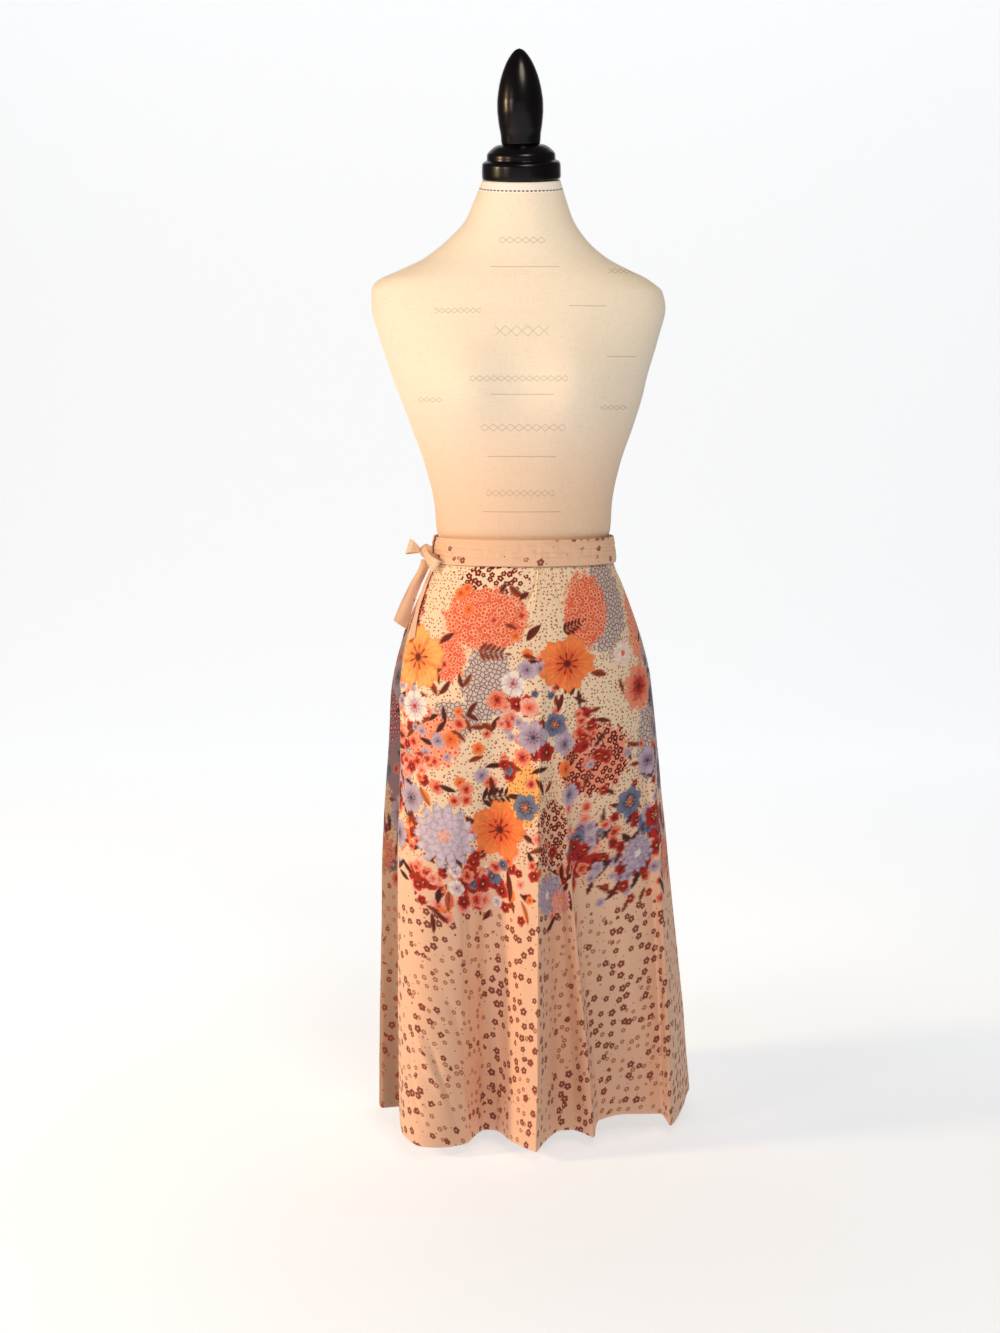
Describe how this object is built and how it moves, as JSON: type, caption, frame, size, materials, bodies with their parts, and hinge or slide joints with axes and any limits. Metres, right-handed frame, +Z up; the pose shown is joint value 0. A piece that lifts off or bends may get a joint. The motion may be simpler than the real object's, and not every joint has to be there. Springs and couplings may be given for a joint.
{
  "type": "wrap skirt on a dress form",
  "caption": "A long printed wrap skirt with a soft tie and side bow, worn on a limbless linen dress form with a turned dark neck cap, standing on a pole and a round foot.",
  "frame": {"origin": "the middle of the foot's flat underside, on the floor", "axes": "+Z up; the skirt's front, with the wrap's free edge and the bow, faces -Y; +X is to the right of a viewer who looks at the front"},
  "size_m": [0.4305, 0.4171, 1.4129],
  "materials": {
    "print_cloth": "soft light woven cotton or viscose, blush peach with a floral print",
    "sash_cloth": "the same soft printed cloth, gathered into a tie",
    "linen": "cream plain-weave linen stretched over the form, faintly mottled",
    "dark_wood": "turned wood, black with a glossy lacquer",
    "black_iron": "cast iron, black paint"
  },
  "bodies": {
    "root": {"front_left_panel": "print_cloth", "front_right_panel": "print_cloth", "back_right_panel": "print_cloth", "back_left_panel": "print_cloth", "under_lap_panel": "print_cloth", "waistband": "print_cloth", "sash_round_waist": "sash_cloth", "bow_knot": "sash_cloth", "bow_loop_outer": "sash_cloth", "bow_loop_front": "sash_cloth", "tie_tail_long": "sash_cloth", "tie_tail_short": "sash_cloth", "form_figure": "linen", "neck_cap": "dark_wood", "neck_spindle": "dark_wood", "stand_plate": "black_iron", "stand_pole": "black_iron", "stand_foot": "black_iron"}
  },
  "joints": []
}
